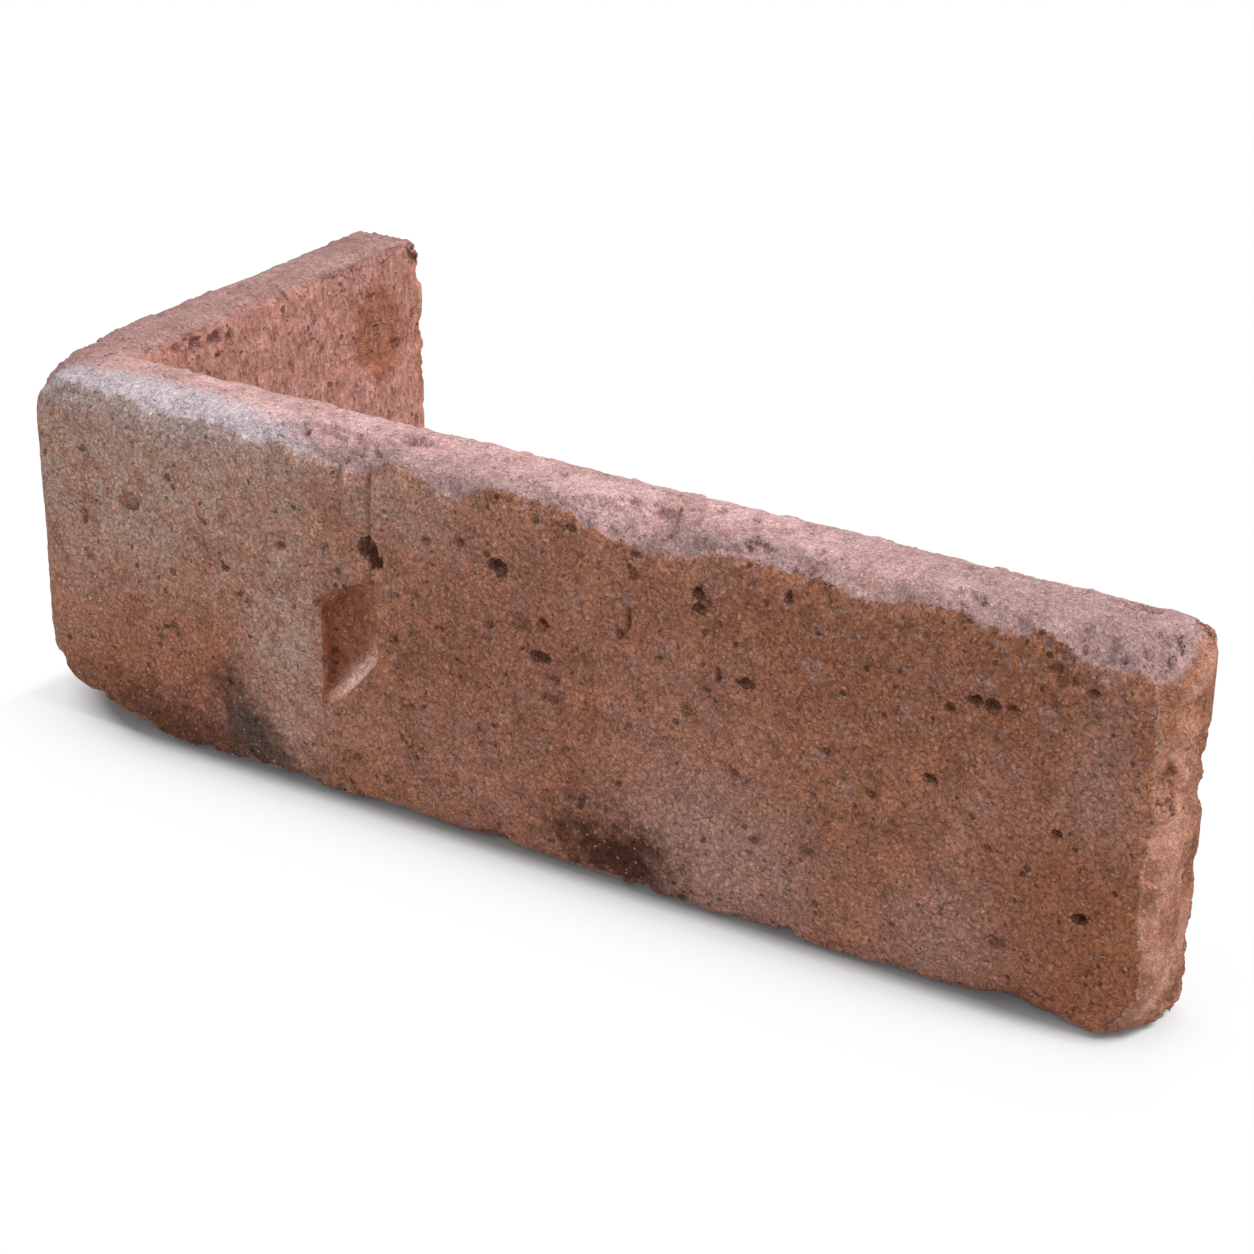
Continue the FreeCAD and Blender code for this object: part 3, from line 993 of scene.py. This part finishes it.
def fired_clay(colours):
    """Fired clay: a weathered moulded skin over a pinker body, with sand grain, pores, haze and kiln marks, and
    painted light and shade in its pits, pores, dent and moulding marks.
    """
    material = bpy.data.materials.new("fired_clay")
    sheet = blank_sheet(material)
    place = Place(sheet, sheet.node("ShaderNodeTexCoord").out("Object"))
    grain = Grain(sheet, place.at)
    pit = sheet.node("ShaderNodeAttribute", attribute_name="pit").out("Fac")
    dent = dent_masks(place, grain.ragged)
    areas = Areas(place, grain, pit, dent[0])
    pores, specks = pores_and_specks(sheet, place, grain, areas)
    hole, hole_shade = open_holes(sheet, place, (grain.fine - 0.5) * 1.3 + (grain.small - 0.5) * 2.6)
    marks = moulding_marks(sheet, place)
    # The wire leaves short upright drags on the sawn faces.
    drags = sheet.noise(sheet.stretched(place.at, 0.4), 0.9, 3.0, 0.7, 0.6)
    grit = sheet.mixed(areas.sawn, grain.fine, drags)

    # Painted shade darkens the pits, the small pores and the upper sides of the sharp pits.
    tone = clay_tone(place, grain, grit, areas, marks) * (1.0 - pit.step(0.35, 0.95) * PIT_SHADE)
    tone = tone * (1.0 - pores * PORE_SHADE) * (1.0 - hole_shade * HOLE_SHADE)
    colour = clay_colour(sheet, place, colours, grain, areas, dent)
    colour = sheet.mixed(1.0, colour, sheet.join(tone, tone, tone), blend="MULTIPLY")
    colour = sheet.mixed(specks * 0.4, colour, colour_of(colours.speck))

    relief = grit * areas.calm * 0.9 + grain.small * (0.4 + areas.torn * 0.9) - pores * 0.25 + specks * 0.1
    relief = relief * (1.0 - dent[0] * 0.5) + marks * 0.2 - hole * 0.7
    bump = sheet.node("ShaderNodeBump", {"Height": relief, "Strength": 1.0, "Distance": RELIEF_HEIGHT})
    values = {
        "Base Color": colour,
        "Roughness": 0.96 - specks * 0.2 - (grain.fine - 0.5) * 0.1,
        "Normal": bump.out("Normal"),
        "Specular IOR Level": 0.25,
    }
    shader = sheet.node("ShaderNodeBsdfPrincipled", values)
    sheet.node("ShaderNodeOutputMaterial", {"Surface": shader.out("BSDF")})
    return material


# --- the stage ----------------------------------------------------------------------------------------------


WHITE = (1.0, 1.0, 1.0, 1.0)
# How much faster the shadow fades off the header face than elsewhere around the slip.
SIDE_FADE = 4.0
# How far in from the outer corner, in millimetres, the shadow is rounded off.
CORNER_CLEAR = 30.0


def seen_directly(sheet):
    """Where a ray comes from the camera, or from it by a reflection or through glass."""
    rays = sheet.node("ShaderNodeLightPath")
    return rays.out("Is Camera Ray").most(rays.out("Is Glossy Ray")).most(rays.out("Is Transmission Ray"))


def beyond_leg(sheet, place, length, width):
    """How far a point of the floor lies outside one leg of the slip, in millimetres."""
    along = (place.along * -SIDE_FADE).most(place.along - length).most(0.0)
    inward = (place.inward * -1.0).most(place.inward - width).most(0.0)
    return sheet.vector_math("LENGTH", sheet.join(along, inward, 0.0), result="Value")


def floor_material(settings):
    """A pale floor that the camera sees as white, with the slip's shadow close around it: painted white fades
    the rendered shadow out away from the slip, and a painted contact shadow darkens the floor close under it.
    """
    material = bpy.data.materials.new("pale_floor")
    sheet = blank_sheet(material)
    place = Place(sheet, sheet.node("ShaderNodeTexCoord").out("Object"))
    to_stretcher = beyond_leg(sheet, place, LENGTH, STRETCHER_THICKNESS)
    to_header = beyond_leg(sheet, place, HEADER_THICKNESS, WIDTH)
    # The knocked-off outer corner stands clear of the floor, so its shadow starts further in.
    into_corner = [(CORNER_CLEAR - reach).most(0.0) for reach in (place.along, place.inward)]
    to_corner = sheet.vector_math("LENGTH", sheet.join(*into_corner, 0.0), result="Value") - CORNER_CLEAR
    away = to_stretcher.least(to_header).most(to_corner)
    # The camera sees painted white over the floor, and so over the rendered shadow, more and more with distance
    # from the slip, and none close under it.
    fade = away.step(0.0, settings.shadow_reach / MM)
    whiteness = (fade * (1.0 - settings.floor_whiteness) + settings.floor_whiteness) * away.step(-2.0, 9.0)
    # Close under the slip the floor is darkened with a painted contact shadow, fading out towards the
    # stretcher's end.
    contact = away.step(3.5, -1.0) * place.from_end.step(2.0, 26.0)
    seen = seen_directly(sheet)
    shown = sheet.mixed(contact, colour_of(settings.floor_shown), colour_of(settings.floor_contact_shadow))
    paper_colour = sheet.mixed(seen, colour_of(settings.floor_colour), shown)
    paper = sheet.node("ShaderNodeBsdfDiffuse", {"Color": paper_colour}).out("BSDF")
    glow = sheet.node("ShaderNodeEmission", {"Color": WHITE, "Strength": 1.0}).out("Emission")
    mix = sheet.node("ShaderNodeMixShader", {0: seen * whiteness, 1: paper, 2: glow})
    sheet.node("ShaderNodeOutputMaterial", {"Surface": mix.out("Shader")})
    return material


def add_floor(settings):
    bpy.ops.object.select_all(action="DESELECT")
    bpy.ops.mesh.primitive_plane_add(size=settings.floor_size, location=(0, 0, SLIP_LOW.z))
    floor = bpy.context.active_object
    floor.name = "floor"
    bpy.ops.object.transform_apply(location=True, rotation=True, scale=True)
    floor.data.materials.append(floor_material(settings))


def add_light(settings):
    """One broad soft lamp from above and behind to the right, and an even pale sky."""
    lamp = bpy.data.lights.new("soft_key", "SUN")
    lamp.energy = settings.key_strength
    lamp.angle = settings.key_softness
    key = bpy.data.objects.new("soft_key", lamp)
    across = math.sin(settings.key_tilt)
    x = math.cos(settings.key_turn) * across
    y = math.sin(settings.key_turn) * across
    towards = Vector((x, y, math.cos(settings.key_tilt)))
    key.rotation_euler = towards.to_track_quat("Z", "Y").to_euler()
    bpy.context.collection.objects.link(key)
    world = bpy.data.worlds.new("pale_sky")
    sheet = blank_sheet(world)
    strength = seen_directly(sheet).step(0.0, 1.0, settings.sky_strength, 1.0)
    sky = sheet.node("ShaderNodeBackground", {"Color": WHITE, "Strength": strength})
    sheet.node("ShaderNodeOutputWorld", {"Surface": sky.out("Background")})
    bpy.context.scene.world = world


def add_camera(settings):
    data = bpy.data.cameras.new("camera")
    data.sensor_width = 36.0
    data.lens = settings.lens
    data.clip_start = 0.01
    camera = bpy.data.objects.new("camera", data)
    level = math.cos(settings.elevation)
    back = Vector(
        (math.sin(settings.azimuth) * level, -math.cos(settings.azimuth) * level, math.sin(settings.elevation))
    )
    turn = back.to_track_quat("Z", "Y")
    camera.location = Vector(settings.target) + back * settings.distance
    camera.rotation_euler = turn.to_euler()
    camera.rotation_euler.rotate_axis("Z", settings.roll)
    bpy.context.collection.objects.link(camera)
    bpy.context.scene.camera = camera


class BRICKSLIP_OT_stage(bpy.types.Operator):
    """Add the pale floor, the soft light and the camera"""

    bl_idname = "brick_slip.stage"
    bl_label = "Set the Stage"

    def execute(self, context):
        settings = context.scene.brick_slip_stage
        add_floor(settings)
        add_light(settings)
        add_camera(settings)
        context.scene.view_settings.view_transform = "Standard"
        return {"FINISHED"}


# --- what a user may change ---------------------------------------------------------------------------------


def length_property(name, description, default):
    return bpy.props.FloatProperty(
        name=name, description=description, default=default, unit="LENGTH", precision=5
    )


def angle_property(name, description, degrees):
    return bpy.props.FloatProperty(
        name=name, description=description, default=math.radians(degrees), subtype="ANGLE", unit="ROTATION"
    )


def colour_property(name, description, default):
    return bpy.props.FloatVectorProperty(
        name=name, description=description, default=default, subtype="COLOR", size=3, min=0.0, max=1.0
    )


class BrickSlipShape(bpy.types.PropertyGroup):
    """How finely the slip is modelled and how worn it is"""

    voxel_size: length_property("Voxel Size", "Spacing of the points that the wear is worked into", 0.00045)
    most_triangles: bpy.props.IntProperty(
        name="Most Triangles", description="Triangles that the finished piece may have", default=195000
    )
    softening: bpy.props.IntProperty(
        name="Softening", description="Rounds of easing that the solid's facets are given", default=60
    )
    arris_wear: bpy.props.FloatProperty(
        name="Arris Wear", description="How far the arrises are worn", default=1.0
    )
    pore_density: bpy.props.FloatProperty(
        name="Pore Density", description="Open pores on each square metre", default=7000.0
    )
    seed: bpy.props.IntProperty(name="Seed", description="Which scatter of pores is used", default=7)


class BrickSlipColours(bpy.types.PropertyGroup):
    """The colours of the fired clay"""

    skin_brown: colour_property("Skin Brown", "The browner parts of the moulded skin", (0.34, 0.14, 0.084))
    skin_orange: colour_property("Skin Orange", "The oranger parts of the moulded skin", (0.475, 0.193, 0.112))
    skin_rose: colour_property("Skin Rose", "The rosier parts of the moulded skin", (0.47, 0.222, 0.165))
    ochre: colour_property("Ochre", "Yellower flecks in the skin", (0.50, 0.232, 0.132))
    lilac: colour_property("Lilac", "Greyer rosy flecks in the skin", (0.43, 0.25, 0.215))
    umber_dark: colour_property("Dark Umber", "Darker spots in the skin", (0.25, 0.10, 0.058))
    haze: colour_property("Haze", "The grey-brown haze near the outer corner", (0.5, 0.335, 0.275))
    pale_rose: colour_property("Pale Rose", "Pale patches low on the skin", (0.5, 0.29, 0.245))
    rust_stain: colour_property("Rust Stain", "Deeper orange patches low on the skin", (0.33, 0.112, 0.045))
    scorch: colour_property("Scorch", "Dark kiln marks on the lower arris", (0.105, 0.062, 0.05))
    singe: colour_property("Singe", "Warm brown kiln marks on the lower arris", (0.055, 0.011, 0.002))
    umber: colour_property("Umber", "The browner reaches of the skin", (0.30, 0.11, 0.056))
    # Painted shade, with some stain, on the deep left side of the dent.
    dent_shade: colour_property("Dent Shade", "The painted shade and stain on the deep side of the dent", (0.19, 0.04, 0.012))
    # Painted light on the upward slope at the foot of the dent.
    dent_lit_slope: colour_property("Dent Lit Slope", "The painted light on the slope at the foot of the dent", (0.80, 0.49, 0.41))
    smudge: colour_property("Smudge", "The dark patch on the header's sawn face", (0.27, 0.09, 0.045))
    bed_header: colour_property("Header Bed", "The browner bed of the header", (0.31, 0.165, 0.145))
    bed_rust: colour_property("Bed Rust", "Warmer spots in the beds", (0.52, 0.24, 0.19))
    bed_dust: colour_property("Bed Dust", "The greyer broken clay beside the arris", (0.37, 0.235, 0.225))
    # A painted highlight, with some rubbed wear, on the edge of the skin by the stretcher's end.
    worn_rim_highlight: colour_property("Worn Rim Highlight", "The painted highlight and rubbed wear on the edge of the skin", (0.72, 0.43, 0.31))
    body: colour_property("Body", "The body under the skin", (0.38, 0.155, 0.088))
    body_rose: colour_property("Body Rose", "The rosier parts of the body", (0.47, 0.235, 0.17))
    bed: colour_property("Bed", "The upper and lower beds", (0.53, 0.305, 0.29))
    bed_pale: colour_property("Bed Pale", "The paler parts of the beds", (0.60, 0.38, 0.37))
    bloom: colour_property("Lime Bloom", "The pale bloom on the upper arris", (0.53, 0.455, 0.485))
    bloom_skin: colour_property("Thin Bloom", "The bloom where it lies thin on the skin", (0.45, 0.36, 0.35))
    sawn: colour_property("Sawn Face", "The sawn faces", (0.37, 0.162, 0.125))
    sawn_rose: colour_property("Sawn Face Rose", "The rosier parts of the sawn faces", (0.44, 0.215, 0.178))
    speck: colour_property("Specks", "Pale grains of sand", (0.74, 0.58, 0.5))


class BrickSlipStage(bpy.types.PropertyGroup):
    """The floor, the light and the camera"""

    floor_size: length_property("Floor Size", "Side of the square floor", 8.0)
    floor_colour: colour_property("Floor Colour", "The floor's own colour", (0.55, 0.55, 0.55))
    floor_shown: colour_property("Floor Shown", "The floor's colour to the camera", (0.715, 0.73, 0.735))
    # A painted contact shadow on the floor close under the slip.
    floor_contact_shadow: colour_property("Floor Contact Shadow", "The floor's painted shadow close under the slip", (0.34, 0.34, 0.34))
    shadow_reach: length_property("Shadow Reach", "How far from the slip its shadow fades out", 0.027)
    floor_whiteness: bpy.props.FloatProperty(
        name="Floor Whiteness", description="How far the camera sees the floor as plain white", default=0.55
    )
    key_strength: bpy.props.FloatProperty(name="Key Strength", description="Strength of the lamp", default=2.6)
    key_softness: angle_property("Key Softness", "How wide the lamp is in the sky", 24.0)
    key_tilt: angle_property("Key Tilt", "How far the lamp leans from overhead", 34.0)
    key_turn: angle_property("Key Turn", "Where the lamp stands around the slip, from the stretcher's end", 5.0)
    sky_strength: bpy.props.FloatProperty(
        name="Sky Strength", description="Strength of the even sky", default=0.78
    )
    lens: bpy.props.FloatProperty(name="Lens", description="Focal length in millimetres", default=84.6)
    azimuth: angle_property("Azimuth", "How far round to the right the camera stands", 31.71)
    elevation: angle_property("Elevation", "How far the camera looks down", 24.68)
    roll: angle_property("Roll", "How far the camera is rolled", 0.73)
    distance: length_property("Distance", "From the camera to the point that it looks at", 0.45)
    target: bpy.props.FloatVectorProperty(
        name="Target",
        description="The point in the middle of the view",
        default=(0.0208, -0.0561, 0.0493),
        subtype="TRANSLATION",
        unit="LENGTH",
    )


class VIEW3D_PT_brick_slip(bpy.types.Panel):
    """Lists the steps that make the slip and its stage"""

    bl_label = "Brick Slip"
    bl_category = "Brick Slip"
    bl_space_type = "VIEW_3D"
    bl_region_type = "UI"

    def draw(self, context):
        layout = self.layout
        for settings, operator in (
            (context.scene.brick_slip_shape, BRICKSLIP_OT_model),
            (context.scene.brick_slip_colours, None),
            (context.scene.brick_slip_stage, BRICKSLIP_OT_stage),
        ):
            column = layout.column(align=True)
            for name in settings.__annotations__:
                column.prop(settings, name)
            if operator:
                layout.operator(operator.bl_idname)


CLASSES = (
    BrickSlipShape,
    BrickSlipColours,
    BrickSlipStage,
    BRICKSLIP_OT_model,
    BRICKSLIP_OT_stage,
    VIEW3D_PT_brick_slip,
)


def register():
    for item in CLASSES:
        bpy.utils.register_class(item)
    bpy.types.Scene.brick_slip_shape = bpy.props.PointerProperty(type=BrickSlipShape)
    bpy.types.Scene.brick_slip_colours = bpy.props.PointerProperty(type=BrickSlipColours)
    bpy.types.Scene.brick_slip_stage = bpy.props.PointerProperty(type=BrickSlipStage)


def unregister():
    del bpy.types.Scene.brick_slip_stage
    del bpy.types.Scene.brick_slip_colours
    del bpy.types.Scene.brick_slip_shape
    for item in reversed(CLASSES):
        bpy.utils.unregister_class(item)


def main():
    register()
    bpy.ops.brick_slip.model()
    bpy.ops.brick_slip.stage()


if __name__ == "__main__":
    main()
